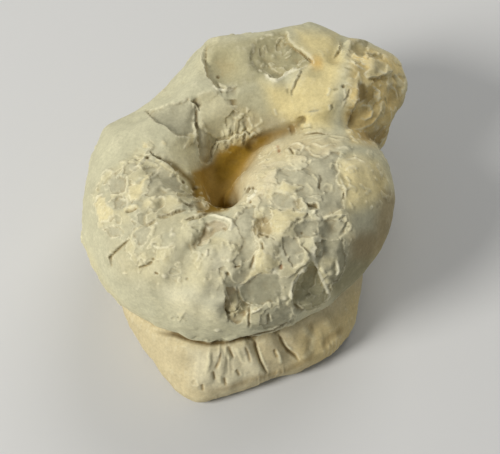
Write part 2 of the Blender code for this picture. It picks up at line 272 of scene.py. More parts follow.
# Broken edges: (height, how far the higher side stays high, paths), the higher side on the right as above.
STEPS = drawn(
    (0.75, 5.0, ("148,151 154,157 165,164 175,170 181,175",
     "206,45 204,58 204.5,69.5 207,79.5 213,87 220.5,91.5 222,96")),
    (0.45, 4.0, ("195,121 196.5,132 197,142 198,155 200,165", "357,82 357,95 356,104 351,112 348,120 348,128",
     "335,34 337,40 340,47 338,52 333,59", "314,64 309,58 302,52 295,47 288,40 286,31",
     "265,74 271,79 277,81 283,76 291,71 301,69 304,66", "393,72 385,74 375,78 367,78",
     "189,99 195,104 199,112", "226,288 224,298 226,310 228,322", "323,235 322,240 315,244 314,250 314,259",
     "346,220 343,217 332,217 324,220")),
    (0.55, 3.0, "204,165 210.5,161 212,150 217.5,141 230,139 235,133.5 241,134.5 245,131 250,134.5 254,131 "
     "260,137.5"),
    (0.35, 3.0, (*FLANK_CRACKS, "239,85.5 233,87 226,89 220.5,87 216,82",
     "298,243 303,247 308,254 308,260 300,268 295,274", "268,313 268,319 267,325",
     "145,110.5 153,119.5 166,128 178,136 190.5,137", "319,173 319,182 320,190",
     "303,68 298,78 295,85 291,93", "377,163 381,171 383,180")),
)

# Lines on the photograph's side: (tone, strength, half width in mm, height in mm, paths).
LINES = drawn(
    # the seam under the whorl, with painted shade along its groove
    ("smooth", 0.8, 1.3, 0.9, "178,332 191,336.5 207,340 224,339.5 240,335.5"),
    ("dark", 0.7, 0.6, -0.6, "155,331 166,334 177,335.7 191,340.4 207,344 224,343 241,338.5 255,334.5 "
     "274,330 298,319"),
    # the crevice that runs up out of the hollow, and the face beside it
    # painted shade in the crevice
    ("umber", 0.35, 1.4, -0.9, "301,124 289,128.5 272,135 258,142 246,151 234,162 222,176"),
    ("grey", 0.3, 1.5, 0.6, "202,128 204,140 205,152 204,162"),
    # a painted shadow along the left edge of the scar above the face
    ("dark", 0.6, 0.4, -0.5, "196,106 196.5,118 197.5,131"),
    # valleys and ribs that run out from the hollow
    ("grey", 0.3, 2.2, -0.45, ("201,236 193,252 180,271 164,286", "229,240 222,268 213,300",
     "246,232 243,254 240,280", "180,205 160,212 135,226 116,240")),
    ("pale", 0.35, 2.0, 0.6, ("224,238 213,256 205,276 197,300", "196,220 183,236 169,253 155,269",
     "234,244 230,262 222,290", "184,198 164,204 146,210")),
    # the hollow's rim in front, which lies a little lower in the photograph
    # painted shade along the hollow's front rim
    ("umber", 0.4, 1.8, -1.0, "196,207 207,208.5 220,208 231,204"),
    # the broken edge at the hollow's left
    ("umber", 0.5, 1.0, -0.5, "158,157 171,164.5 182,173 190,180 195,189 198,201 202,211"),
    # broad furrows, the first ones painted dark as painted shade
    ("dark", 0.4, 1.0, -0.5, ("193,99 197,103 200,108", "289,131 295,129", "296,198 300,209",
     "189,250 198,240 203,233 208,227", "301,116 304,123", "293,304 298,308 305,313", "233,99 233,106")),
    ("grey", 0.5, 1.2, -0.4, ("148,148 157,154 173,160", "226,91 238,91")),
    # broad swells
    ("cream", 0.4, 1.2, 0.35, ("303,128 312,126", "305,133 325,130",
     "143,202 153,202 160,199 170,198 180,200", "161,259 170,257", "319,260 335,264", "102,179 113,171",
     "399,77 397,87", "353,100 350,104 349,107", "268,190 273,198")),
    # cracks
    ("dark", 0.65, 0.3, -0.42, (*FLANK_CRACKS, "154,272.5 158.5,274", "291,46 300,52 308,58 314,63",
     "289,147 294,155", "303,135 317,133 332,135", "344,192 344,200", "254,254 253,261 250,270",
     "262,242 263,250", "249,306 249,328", "268,313 267,325", "234,267 241,266",
     "238,287 239,296 244,303 249,306 249,310", "226,298 224,307 228,313 233,310 241,302", "319,182 319,189",
     "178,201 188,205 197,206")),
    ("rust", 0.7, 0.42, -0.3, ("277,144.5 280.5,156", "281,264 281,270")),
    # fine lines
    ("olive", 0.5, 0.35, -0.2, ("332,104 333,109", "333,90 339,89", "344,67 354,71", "385,97 388,107",
     "287.5,88 288,94", "291.5,89 292,96", "251,56 251,62", "297,127 306,118", "300,129 314,127",
     "303,117 305,124")),
    ("grey", 0.7, 0.3, -0.2, ("162,246 176,247", "308,112 320,110", "248,306 256,307", "285,326 286,318")),
    # cracks and wrinkles of the lower side
    ("dark", 0.6, 0.42, -0.7, ("253.5,337 256,348 260,360 264.5,370 268,374",
     "277.5,333 283.5,344 288,351 295,356 299,361")),
    ("brown", 0.45, 0.36, -0.35, ("228,345 230,351 234,359", "245,346 248,353 250.5,363", "213,371 215,380",
     "224,377 226,386", "202,384 203,391", "274,349 278,358", "236,369 240,376", "221,352 219,362 215,370")),
    # painted shade along the lower side's bottom edge, where it turns under
    ("brown", 0.35, 1.3, 0.0, "206,393 228,388 250,380 265,376 285,371 303,362 318,356"),
    ("brown", 0.3, 1.1, -0.35, "345,327 328,339 322,350"),
    ("pale", 0.35, 1.0, 0.4, "303,326 313,338 311,350 302,359"),
    ("pale", 0.6, 0.45, 0.3, ("276,350 280,357 281,364", "209,351 209,361 206,374", "225,347 227,353 230,360",
     "236,347 240,354 244,363", "257,345 261,357 265,366", "219,375 221,384", "281,338 287,346 293,351")),
    # bright lips along broken edges, raised and painted pale, partly as painted highlight
    ("lip", 0.5, 0.32, 0.22, ("266,158 272,150 282,147", "288,146 296,143 304,146 300,152",
     "312,143 322,147 331,144", "335,149 344,147 352,151", "345,160 356,158 366,164",
     "376,164 380,171 382,178", "340,178 346,190 344,200", "100,176 106,170 113,171 114,177",
     "127,176 128,185 126,193 118,196", "132,168 140,165 145,158", "118,198 127,200 128,208",
     "94,204 97,197 104,193", "100,222 108,221 114,214", "150,200 160,197 168,199", "160,186 166,190 172,188",
     "150,178 156,174 160,170", "171,238 171,231 173,227", "150,244 158,248 168,247 176,243",
     "196,262 200,256 198,250", "186,226 192,222 199,220", "372,86 380,92 378,100", "388,84 396,90 398,100",
     "350,60 358,66 366,70", "376,70 386,74 394,72", "344,88 346,98 342,108")),
    ("pale", 0.55, 0.34, 0.25, ("233,118 238,117 243,117", "240,122 243,126 240,134",
     "248,118 253,128 247,134", "260,117 262,122 253,128",
     "360,107 364,105 370,106 373,111 372,117 366,120 360,118", "383,108 380,116 372,125 361,129 353,129",
     "300,139.5 315,137 330,135.5 345,137.5 352,141", "109,194 117,195 126,192 128,180", "274,108 277,116",
     "328,87 330,90 327,97", "329,104 330,111", "381,97 377,102", "307,144 317,140 328,137 337,140 350,139",
     "267,189 264,197", "307,204 317,203 320,208", "324,220 332,217 343,217 346,220 345,223 342,228 340,232",
     "323,187 327,183 332,185 332,191 329,192", "312,173 319,182", "306,182 310,187 314,192",
     "330,169 332,163 337,164 337,170", "345,176 351,183", "359,184 366,190", "377,163 380,169",
     "297,223 305,221", "223,242 223,248", "228,240 229,246", "233,243 235,250", "274,258 280,257 285,260",
     "245,283 249,279 253,275", "298,299 299,305 304,309", "278,296 280,310", "270,315 272,322",
     "291,313 291,321", "177,312 181,316 186,322", "178,322 182,315 186,309",
     "145,225 135,230 131,236 132,242 139,248")),
    ("white", 0.9, 0.42, 0.4, ("208,215 215,215 220,217 225,218 231,221 232,226 236,227", "231,226 230,231",
     "313,211 315,213", "324,237 319,242 313,250 314,260 318,271 325,285 330,297 325,302",
     "309,265 300,273 293.5,283 291,295 292.5,304", "337,260 339,271 335,281", "212,85 218,89 226,90 234,88",
     "244,196 249,199 254,195 255,190", "264,73 270,78 276,81 283,76 291,71 300,69")),
)

# Small bumps and pits: (tone, strength, radius in mm, height in mm, their places in pixels).
SPOTS = drawn(
    ("dark", 0.7, 0.5, -0.5, "147,158.5 183,182.5 196,188 194.5,194.5 343.5,86.5 228,274 218,77 250,188 "
     "250,202 253,188"),
    ("dark", 0.6, 0.9, -0.6, "248.5,190.5"),
    ("dark", 0.5, 0.35, -0.3, "147,112 153,119 302,233 245,189 153.5,259"),
    ("white", 0.6, 0.45, 0.3, "187,187 192,191 144,160 156.5,223 173.5,234.5 249,195 256,191 248,201 "
     "228.5,260.5 320,219 372,207"),
    ("white", 0.5, 0.7, 0.4, "164,277 285,299 217.5,330 210,228 238,215"),
    ("pale", 0.6, 0.9, 0.4, "104,178 175,193 201.7,126 349,43 328,282 263,209 240,318 234,306 323,270 "
     "331,274"),
    ("orange", 0.45, 1.7, 0.0, "316.5,60 316.5,66"),
    ("olive", 0.45, 1.8, 0.0, "314.5,73"),
    ("scar", 0.6, 1.7, 1.1, "236,299 233,312 241,308"),
)

# Lines of the other sides: (tone, strength, half width, height, paths of places as angle,height).
SIDE_LINES = drawn(
    ("dark", 0.5, 0.35, -0.35, ("150,40 156,33 154,26 160,20", "118,42 124,36 131,34",
     "95,34 101,27 99,20 106,15", "58,24 64,19 72,18", "20,30 24,24 22,19", "196,30 202,24 199,18",
     "-8,12 -12,8 -10,3", "-35,12 -38,7 -36,3")),
    ("pale", 0.6, 0.5, 0.3, ("170,38 163,34 158,36 150,33", "140,22 132,19 124,23 115,20",
     "88,24 80,27 74,24", "46,32 50,26 47,20 52,14", "10,40 4,35 6,29", "208,38 215,33 212,27")),
)

# The seam's height by angle round the coil: the lower side is below it.
SEAM_ANGLES = (-180, -150, -118, -62, -20, 10, 50, 100, 140, 180)
SEAM_HEIGHTS = (5, 12, 19, 19, 19, 16, 10, 4, 4, 5)
SEAM_BLEND = 1.0  # mm above and below it in which one side turns into the other

# The hollow, and the coil round it.
HOLLOW_AXIS = np.array((-0.5, 3.0))
HOLLOW_REACH = 15.0
HOLLOW_TOP = 40.0
HOLLOW_BLEND = (3.0, 4.0)  # mm at its side and at its top
COIL_RADIUS = 26.0
COIL_STRETCH = 1.6  # how much longer the marks are across the whorl than along it
COIL_DROP = 0.6  # how much a step down counts, beside a step outwards, as a step across the whorl

# In what follows, a pair for ease() is where something starts and where it is full. Noise is given by the
# size of its lumps in mm and its seed, and layered noise by a weight as well.

# Roughness, from 0 to 1.
SMOOTH_STONE = 0.12
HIDDEN_ROUGH = 0.5  # how much rougher the roughest places out of view are
HIDDEN_NOISE = (14.0, 3.0)
HIDDEN_FROM = (-0.2, 0.5)
LOWER_SMOOTHED = 0.8
CRUSTY = (0.15, 0.6)
FLAKY = (0.18, 0.32)

# Soft unevenness: (size of the lumps, seed, height on smooth stone, height that roughness adds).
UNEVENNESS = (
    (4.5, 0.0, 0.13, 0.3),
    (1.9, 8.0, 0.03, 0.11),
    (0.8, 0.0, 0.01, 0.04),
)
UNEVEN_WARP = 1.2
SCALLOPS = ((4.4, 0.6), (2.0, 0.16))  # (size, depth)
SCALLOP_MIDDLE = 0.3
SCALLOP_WARP = 0.8
CORE_EVENNESS = 0.6  # how much shallower they are on the smooth core

# The pale crust on the rough places, and the thin flakes on the smoother stone beside them.
MOST_WORN = 0.63  # roughness at which half of the crust is gone
CORE_TONES = {"grey": 1, "slate": 1, "cream": -1}  # patches of the smooth core, and of crust
CORE_SHARE = 1.2  # how strongly these patches decide where the crust is
CRUST_CLING = 3.2  # how strongly the crust stays on where the stone is smoother than that
CRUST_NOISE = ((4.4, 21.0, 1.0), (2.1, 23.0, 0.5), (1.0, 25.0, 0.2))
CRUST_WARP = 0.7
CRUST_EDGE = (-0.07, 0.07)
CRUST_DEPTH = 0.26
CRUST_LIP = 0.14
LIP_WIDTH = 0.08
CHIP_NOISE = ((2.4, 51.0, 1.0), (1.0, 53.0, 0.4))
CHIP_WARP = 0.5
CHIP_RARITY = 0.5
CHIP_EDGE = (-0.05, 0.05)
CHIP_HEIGHT = 0.22

# The fine folds that run up and down the lower side, in places, where it doesn't face down.
STREAK_WIDTH = 1.1
STREAK_LENGTH = 11.0
STREAK_HEIGHT = 0.16
STREAK_SEED = 3.0
STREAK_SHARP = 1.6  # how narrow the crests are
STREAK_FROM = (0.2, 0.9)
FOLD_NOISE = (9.0, 12.0)
FOLD_FROM = (-0.2, 0.5)
FOLD_FACING = (-0.6, -0.3)

# The crease under the whorl is deepened where the stone is a little sunk near the seam, but not much.
SEAM_CUT = 0.8
SEAM_ROUNDS = 60
SEAM_SUNK = (-0.07, -0.22)
SEAM_TOO_DEEP = (-0.32, -0.22)
SEAM_NEAR = (4.0, 2.0)  # mm from the seam

# How the forms of the tables above are worked in.
WARP_SIZE = 3.0
WARP_SEEDS = (0.0, 7.0, 14.0)
PATCH_SHARE = 1.7
PATCH_SHARPER = 0.6  # the edge's softness in relief as a share of its softness in colour
STEP_SHARE = 1.6
STEP_EDGE = (-0.8, 0.8)  # pixels across a broken edge in which it drops
STEP_LOW_REACH = 0.45  # how far the low side is sunk, and how deep, as shares of the high side
STEP_LOW_DEPTH = 0.6
STEP_TAPER = 4.0
STEP_SEEN = 0.2
LINE_REACH = 1.8
LINE_END_WIDTH = 0.45
LINE_TAPER = 5.0
TAPER_POWER = 0.7
SPOT_REACH = 1.5
FOOT = (0.05, 1.5)  # mm above the floor between which the relief fades in

# Washes over the whole stone: (tone, strength, size of the lumps, seed, where the noise starts them and where
# they are full).
WASHES = (
    ("yellow", 0.3, 17.0, 1.0, (-0.1, 0.7)),
    ("grey", 0.4, 8.0, 6.0, (0.0, 0.7)),
)

# How strongly the other tones are mixed in, and where.
LOWER_TAN = 0.9
HOLLOW_OCHRE = 0.9
HOLLOW_IN_VIEW = 0.6  # less of it where the zones colour the hollow
CREAM_NOISE = (5.0, 31.0)
CREAM_FROM = (-0.2, 0.2)
CREAM_CRUST = 0.5
BARE_FROM = (0.05, -0.1)  # on the scale of the crust in crusts()
BARE_GREY = 0.6
CHIP_CREAM = 0.4
# Pale edges of the crust, the flakes and the patches: their pale stone, partly painted highlight.
LIP_STRENGTH = 0.5
CRUST_LIP_AT = 0.06  # on the scales of the crust and the flakes there
CHIP_LIP_AT = 0.05
LIP_NOISE = (2.6, 61.0)
LIP_FROM = (-0.45, 0.15)
RIM_WIDTH = 1.3  # pixels
RIM_STRENGTH = 0.7
RIM_NOISE = (1.5, 41.0)
RIM_FROM = (-0.3, 0.3)
LINE_COLOUR_REACH = 1.4
LINE_COLOUR_SHARE = 1.5
SPOT_COLOUR_REACH = 1.4
SPOT_FROM = (1.0, 0.4)

# Painted highlight and painted shade by relief: what stands out is painted lighter, what is sunk darker.
# Tones by relief: (tone, strength, rounds of evening, and how many mm a point stands out of its surroundings,
# evened that often, where the tone starts and where it is full).
RELIEF_PAINTED_LIGHT = (
    ("lip", 0.5, 3, (0.015, 0.1)),
    ("brown", 0.25, 3, (-0.02, -0.12)),
    ("brown", 0.25, 24, (-0.08, -0.45)),
)

# Painted shade in the crease under the whorl, where the stone is a little sunk near the seam.
SEAM_PAINTED_SHADE = 0.7
SEAM_DARK_ROUNDS = 40
SEAM_DARK_SUNK = (-0.1, -0.4)
SEAM_DARK_NEAR = (3.5, 1.5)

# The material, on top of the vertex colours: noise scales in lumps a metre.
GRAIN = {"Scale": 1400.0, "Detail": 6.0, "Roughness": 0.7}
BLOTCHES = {"Scale": 260.0, "Detail": 5.0, "Roughness": 0.65}
NOISE_RANGE = (0.3, 0.7)
GRAIN_SHADE = (0.86, 1.12)
BLOTCH_SHADE = (0.92, 1.07)
STONE_ROUGHNESS = (0.78, 0.98)
STONE_IOR = 1.45
STONE_SPECULAR = 0.25
BUMP_STRENGTH = 0.5
BUMP_HEIGHT = 0.12  # mm

# Lamps: (name, direction, distance in metres, size in metres, power).
LAMPS = (
    ("key", Vector((-0.68, -0.39, 0.62)), 0.9, 0.32, 6.8),
    ("fill", Vector((0.25, 0.66, 0.71)), 0.9, 0.6, 3.0),
)
LAMP_COLOUR = (1.0, 0.98, 0.94)
WORLD_COLOUR = (0.93, 0.96, 1.0, 1.0)
WORLD_STRENGTH = 0.24
FLOOR_SIZE = 3.0
FLOOR_COLOUR = (0.62, 0.62, 0.61, 1.0)
FLOOR_ROUGHNESS = 0.9


def linear(tone):
    """A tone's linear colour, by the sRGB curve."""
    values = np.array(TONES[tone]) / 255
    return np.where(values > 0.04045, ((values + 0.055) / 1.055) ** 2.4, values / 12.92)


def ease(span, values):
    """Zero up to the span's first value, one from its second, smooth between."""
    share = np.clip((values - span[0]) / (span[1] - span[0]), 0, 1)
    return share * share * (3 - 2 * share)


def lumps(points, size, seed=0.0):
    """Smooth noise, about -1 to 1, with lumps of this size."""
    return np.array([noise.noise(p) for p in (points / size + seed).tolist()]) * NOISE_GAIN


def layered(points, layers):
    """Noise of several sizes added up."""
    return sum(weight * lumps(points, size, seed) for size, seed, weight in layers)


def to_pixels(points):
    """Where points fall on the photograph."""
    from_eye = points - EYE
    scale = VIEW_DISTANCE / PIXEL / -(from_eye @ BACK)
    across = FRAME_WIDTH / 2 + (from_eye @ RIGHT) * scale
    down = FRAME_HEIGHT / 2 - (from_eye @ UP) * scale
    return np.stack([across, down], axis=-1)


def camera_ray(pixel):
    """The eye and the direction through one pixel."""
    across = (pixel[0] - FRAME_WIDTH / 2) * PIXEL
    down = (pixel[1] - FRAME_HEIGHT / 2) * PIXEL
    return EYE, RIGHT * across - UP * down - BACK * VIEW_DISTANCE


def side_ray(place):
    """From outside, level, towards the coil's axis, at an angle and a height."""
    angle, height = math.radians(place[0]), place[1]
    outward = np.array((math.cos(angle), math.sin(angle), 0.0))
    return outward * OUTSIDE + np.array((0, 0, height)), -outward


def traced(surface, path, ray_of=camera_ray):
    """Points on the stone along a drawn line."""
    places = [Vector(path[0])]
    for start, end in zip(path, path[1:]):
        start, end = Vector(start), Vector(end)
        count = max(1, round((end - start).length / TRACE_STEP))
        places += [start.lerp(end, (i + 1) / count) for i in range(count)]
    found = []
    for place in places:
        origin, direction = ray_of(place)
        hit = surface.ray_cast(Vector(origin * MM), Vector(direction).normalized())[0]
        if hit is not None:
            found.append(np.array(hit) / MM)
    return np.array(found)


def values_of(items, name, width, kind=float):
    """One property of all vertices or edges, as an array with this many values for each."""
    values = np.empty(len(items) * width, dtype=kind)
    items.foreach_get(name, values)
    return values.reshape(-1, width)


class Stone:
    """The stone's mesh as arrays, with what the sculpting and the colouring ask of it."""

    def __init__(self, obj):
        self.obj = obj
        self.points = values_of(obj.data.vertices, "co", 3) / MM
        self.normals = values_of(obj.data.vertices, "normal", 3)
        self.edges = values_of(obj.data.edges, "vertices", 2, np.int64)
        self.degree = np.bincount(self.edges.ravel(), minlength=len(self.points))
        self.pixels = to_pixels(self.points)
        bpy.context.view_layer.update()
        self.surface = BVHTree.FromObject(obj, bpy.context.evaluated_depsgraph_get())
        self.seen = self.blurred(self.in_view(), VIEW_EVENING)
        shake = [lumps(self.points, SHAKE_SIZE, seed) for seed in SHAKE_SEEDS]
        self.shaken = self.pixels + np.stack(shake, axis=1)

    def blurred(self, values, rounds):
        """Values evened out over neighbouring vertices."""
        a, b = self.edges.T
        for _ in range(rounds):
            total = np.bincount(a, values[b], len(values)) + np.bincount(b, values[a], len(values))
            values = (values + total / self.degree) / 2
        return values

    def in_view(self):
        """One where the photograph's camera sees the stone, zero elsewhere."""
        towards = EYE - self.points
        towards /= np.linalg.norm(towards, axis=1)[:, None]
        facing = (towards * self.normals).sum(1)
        seen = np.zeros(len(self.points))
        starts = (self.points + self.normals * CLEAR_OF_SURFACE) * MM
        for i in np.flatnonzero(facing > FACING).tolist():
            if self.surface.ray_cast(Vector(starts[i]), Vector(towards[i]))[0] is None:
                seen[i] = 1.0
        return seen

    def relief(self, rounds):
        """How far each point stands out of its evened surroundings."""
        even = np.stack([self.blurred(self.points[:, k], rounds) for k in range(3)], axis=1)
        return ((self.points - even) * self.normals).sum(1)

    def spots(self, places):
        """The points of the stone at single places of the photograph."""
        return [spot for place in places for spot in traced(self.surface, (place,))]

    def near_line(self, path, reach, ray_of=camera_ray):
        """What along_line() says of the points within reach of a path's line on the stone."""
        line = traced(self.surface, path, ray_of)
        return along_line(self.points, line, reach) if len(line) else (np.zeros(0, dtype=int),) * 3


def along_line(points, line, reach):
    """For the points within reach of a traced line: their numbers, their distance to it, and how far along it
    they are, 0 to 1."""
    low, high = line.min(0) - reach, line.max(0) + reach
    near = np.flatnonzero(((points > low) & (points < high)).all(1))
    close = points[near]
    distance = np.full(len(near), float(reach))
    progress = np.zeros(len(near))
    lengths = np.linalg.norm(np.diff(line, axis=0), axis=1)
    walked = np.concatenate([[0.0], np.cumsum(lengths)])
    for start, end, length, before in zip(line, line[1:], lengths, walked):
        if not 0 < length <= LINE_GAP:
            continue
        share = np.clip((close - start) @ (end - start) / length ** 2, 0, 1)
        gap = np.linalg.norm(close - start - share[:, None] * (end - start), axis=1)
        nearer = gap < distance
        distance[nearer] = gap[nearer]
        progress[nearer] = ((before + share * length) / walked[-1])[nearer]
    keep = distance < reach
    return near[keep], distance[keep], progress[keep]


def tapered(progress, sharpness=LINE_TAPER):
    """One along a line, falling to nothing at its ends."""
    return np.clip(sharpness * np.minimum(progress, 1 - progress), 0, 1) ** TAPER_POWER


def mound(points, spot, radius):
    """One at a spot, falling to nothing at this radius."""
    gap = np.linalg.norm(points - spot, axis=1) / radius
    return np.clip(1 - gap ** 2, 0, 1) ** 2


def from_segment(pixels, start, end):
    """For each place, its distance to a straight piece in pixels, and how far it is to the right of it for
    someone who walks along it."""
    span = np.subtract(end, start)
    across, down = (pixels - start).T
    share = np.clip((across * span[0] + down * span[1]) / (span @ span), 0, 1)
    gap = np.hypot(across - share * span[0], down - share * span[1])
    return gap, (span[0] * down - span[1] * across) / np.hypot(*span)


def side_of_path(pixels, path):
    """How far each place is to the right of a walk along the path, in pixels, as the photograph shows it."""
    best = np.full(len(pixels), np.inf)
    side = np.zeros(len(pixels))
    for start, end in zip(path, path[1:]):
        gap, right = from_segment(pixels, start, end)
        nearer = gap < best - TIE
        best[nearer] = gap[nearer]
        side[nearer] = right[nearer]
    return side


def depth_inside(pixels, outline):
    """How many pixels each place is inside an outline, negative outside."""
    corners = np.array(outline, dtype=float)
    inside = np.zeros(len(pixels), dtype=bool)
    nearest = np.full(len(pixels), np.inf)
    x, y = pixels.T
    for start, end in zip(corners, np.roll(corners, -1, axis=0)):
        (ax, ay), (bx, by) = start, end
        if by != ay:
            crosses = (ay > y) != (by > y)
            inside ^= crosses & (x < (bx - ax) * (y - ay) / (by - ay) + ax)
        nearest = np.minimum(nearest, from_segment(pixels, start, end)[0])
    return np.where(inside, nearest, -nearest)


def inside_of(stone, outline, margin, pixels):
    """The points in view in and near an outline: their numbers and how many pixels each is inside it."""
    low = np.min(outline, axis=0) - margin
    high = np.max(outline, axis=0) + margin
    near = np.flatnonzero(((pixels > low) & (pixels < high)).all(1) & (stone.seen > 0))
    return near, depth_inside(pixels[near], outline)


def area(stone, outline, softness, pixels):
    """One inside an outline on the photograph's side, zero outside, softly between."""
    share = np.zeros(len(pixels))
    near, depth = inside_of(stone, outline, softness, pixels)
    share[near] = ease((-softness, softness), depth) * stone.seen[near]
    return share


def rim(stone, outline):
    """One along an outline, falling to nothing on both sides, and gone in places."""
    share = np.zeros(len(stone.points))
    near, depth = inside_of(stone, outline, RIM_WIDTH, stone.shaken)
    broken = ease(RIM_FROM, lumps(stone.points[near], *RIM_NOISE))
    share[near] = ease((RIM_WIDTH, 0), np.abs(depth)) * broken * stone.seen[near]
    return share


def seam_gap(points):
    """How far each point is above the seam between the whorl and the lower side."""
    angles = np.degrees(np.arctan2(points[:, 1], points[:, 0]))
    return points[:, 2] - np.interp(angles, SEAM_ANGLES, SEAM_HEIGHTS)


def below_seam(stone):
    """One on the lower side, zero on the whorl."""
    return ease((SEAM_BLEND, -SEAM_BLEND), seam_gap(stone.points))


def roughness(stone):
    """How crusty each point of the stone is, 0 to 1."""
    uneven = ease(HIDDEN_FROM, lumps(stone.points, *HIDDEN_NOISE))
    rough = SMOOTH_STONE + HIDDEN_ROUGH * (1 - stone.seen) * uneven
    rough -= (rough - SMOOTH_STONE) * LOWER_SMOOTHED * below_seam(stone)
    for amount, softness, outline in ROUGH_ZONES:
        rough += (amount - rough) * area(stone, outline, softness, stone.pixels)
    return rough


def warped(points, amount):
    """Points pushed about, so that what is drawn over them isn't regular."""
    push = [lumps(points, WARP_SIZE, seed) for seed in WARP_SEEDS]
    return points + np.stack(push, axis=1) * amount


def coil_places(points):
    """The points in a space where noise comes out drawn out across the whorl."""
    out = points[:, :2] - HOLLOW_AXIS
    away = np.linalg.norm(out, axis=1)
    round_the_coil = out * np.sqrt(COIL_RADIUS / away)[:, None]
    across = (away + (HOLLOW_TOP - points[:, 2]) * COIL_DROP) / COIL_STRETCH
    return np.column_stack([round_the_coil, across])


def core_shown(stone):
    """One where the photograph shows the smooth core, minus one where it shows crust, zero elsewhere."""
    shown = np.zeros(len(stone.points))
    for tone, _, _, softness, outline in PATCHES:
        if tone in CORE_TONES:
            shown += CORE_TONES[tone] * area(stone, outline, softness, stone.shaken)
    return np.clip(shown, -1, 1)


def crusts(stone):
    """The roughness, the core shown, the pale crust, above zero where it is left on rough places, and thin
    flakes here and there on the smoother stone, above zero on a flake."""
    places = coil_places(stone.points)
    rough, core = roughness(stone), core_shown(stone)
    worn = layered(warped(places, CRUST_WARP), CRUST_NOISE)
    flakes = layered(warped(places, CHIP_WARP), CHIP_NOISE)
    left = worn + CRUST_CLING * (MOST_WORN - rough) - CORE_SHARE * core
    return rough, core, left, flakes - CHIP_RARITY - np.maximum(core, 0)


def scallops(points, size):
    """Shallow bowls that meet in sharp ridges, 0 to 1."""
    places = warped(coil_places(points), SCALLOP_WARP) / size
    return np.array([min(noise.voronoi(place)[0][0] ** 2, 1.0) for place in places.tolist()])


def streaks(points):
    """Fine folds that run up and down the lower side, up to 1 on their crests."""
    out = np.hypot(points[:, 0], points[:, 1])
    round_the_coil = points[:, :2] / out[:, None] * COIL_RADIUS / STREAK_WIDTH
    along = (points[:, 2] + out) / STREAK_LENGTH
    return 1 - np.abs(lumps(np.column_stack([round_the_coil, along]), 1.0, STREAK_SEED)) * STREAK_SHARP


def surface_lift(stone):
    """The unevenness, the crust, its flakes and the folds, which noise places."""
    points = stone.points
    rough, core, left, chip = crusts(stone)
    shifted = warped(points, UNEVEN_WARP)
    lift = np.zeros(len(points))
    for places, (size, seed, smooth, added) in zip((shifted, shifted, points), UNEVENNESS):
        lift += lumps(places, size, seed) * (smooth + added * rough)
    bowls = ease(CRUSTY, rough) * (1 - CORE_EVENNESS * np.maximum(core, 0))
    for size, depth in SCALLOPS:
        lift += (scallops(points, size) - SCALLOP_MIDDLE) * depth * bowls
    lift += (ease(CRUST_EDGE, left) - 1) * CRUST_DEPTH + np.exp(-(left / LIP_WIDTH) ** 2) * CRUST_LIP
    lift += ease(CHIP_EDGE, chip) * CHIP_HEIGHT * ease(FLAKY, rough)
    folded = ease(FOLD_FROM, lumps(points, *FOLD_NOISE)) * ease(FOLD_FACING, stone.normals[:, 2])
    lift += ease(STREAK_FROM, streaks(points)) * STREAK_HEIGHT * below_seam(stone) * folded
    sunk = stone.relief(SEAM_ROUNDS)
    crease = ease(SEAM_SUNK, sunk) * ease(SEAM_TOO_DEEP, sunk)
    return lift - crease * ease(SEAM_NEAR, np.abs(seam_gap(points))) * SEAM_CUT


def step_lift(stone, lift):
    """Broken edges, high on one side."""
    for height, reach, path in STEPS:
        near, distance, progress = stone.near_line(path, reach)
        shown = stone.seen[near] > STEP_SEEN
        near, distance, progress = near[shown], distance[shown], progress[shown]
        high = ease(STEP_EDGE, side_of_path(stone.shaken[near], path))
        fall = (1 - distance / reach) ** 2
        low_fall = np.clip(1 - distance / (reach * STEP_LOW_REACH), 0, 1) ** 2
        shape = high * fall - (1 - high) * low_fall * STEP_LOW_DEPTH
        lift[near] += shape * height * STEP_SHARE * tapered(progress, STEP_TAPER)


def line_lift(stone, lift, table, ray_of):
    """Grooves and ridges."""
    for _, _, half_width, height, path in table:
        reach = half_width * LINE_REACH
        near, distance, progress = stone.near_line(path, reach, ray_of)
        width = reach * (LINE_END_WIDTH + (1 - LINE_END_WIDTH) * tapered(progress))
        profile = np.clip(1 - (distance / width) ** 2, 0, 1) ** 2
        lift[near] += profile * tapered(progress) * height


def sculpted(stone):
    """The stone with its fine forms worked into its surface."""
    points = stone.points
    lift = surface_lift(stone)
    for _, _, height, softness, outline in PATCHES:
        lift += area(stone, outline, softness * PATCH_SHARPER, stone.shaken) * height * PATCH_SHARE
    for radius, height, places in SWELLS:
        for spot in stone.spots(places):
            lift += mound(points, spot, radius) * height
    step_lift(stone, lift)
    line_lift(stone, lift, LINES, camera_ray)
    line_lift(stone, lift, SIDE_LINES, side_ray)
    for _, _, radius, height, places in SPOTS:
        for spot in stone.spots(places):
            lift += mound(points, spot, radius * SPOT_REACH) * height
    moved = points + stone.normals * (lift * ease(FOOT, points[:, 2]))[:, None]
    moved[:, 2] = np.maximum(moved[:, 2], 0)
    stone.obj.data.vertices.foreach_set("co", (moved * MM).ravel())
    stone.obj.data.update()


def mix(colours, tone, share):
    """Colours moved towards a tone."""
    return colours + (linear(tone) - colours) * np.clip(share, 0, 1)[:, None]


def lip_of(values, place):
    """One where the values are at this place, just above an edge at zero, and less on both sides."""
    return np.exp(-((values - place) / place) ** 2)


def deep_inside(points):
    """One in the hollow, zero outside it."""
    away = np.linalg.norm(points[:, :2] - HOLLOW_AXIS, axis=1)
    side, top = HOLLOW_BLEND
    below = ease((HOLLOW_TOP, HOLLOW_TOP - top), points[:, 2])
    return below * ease((HOLLOW_REACH + side, HOLLOW_REACH), away)


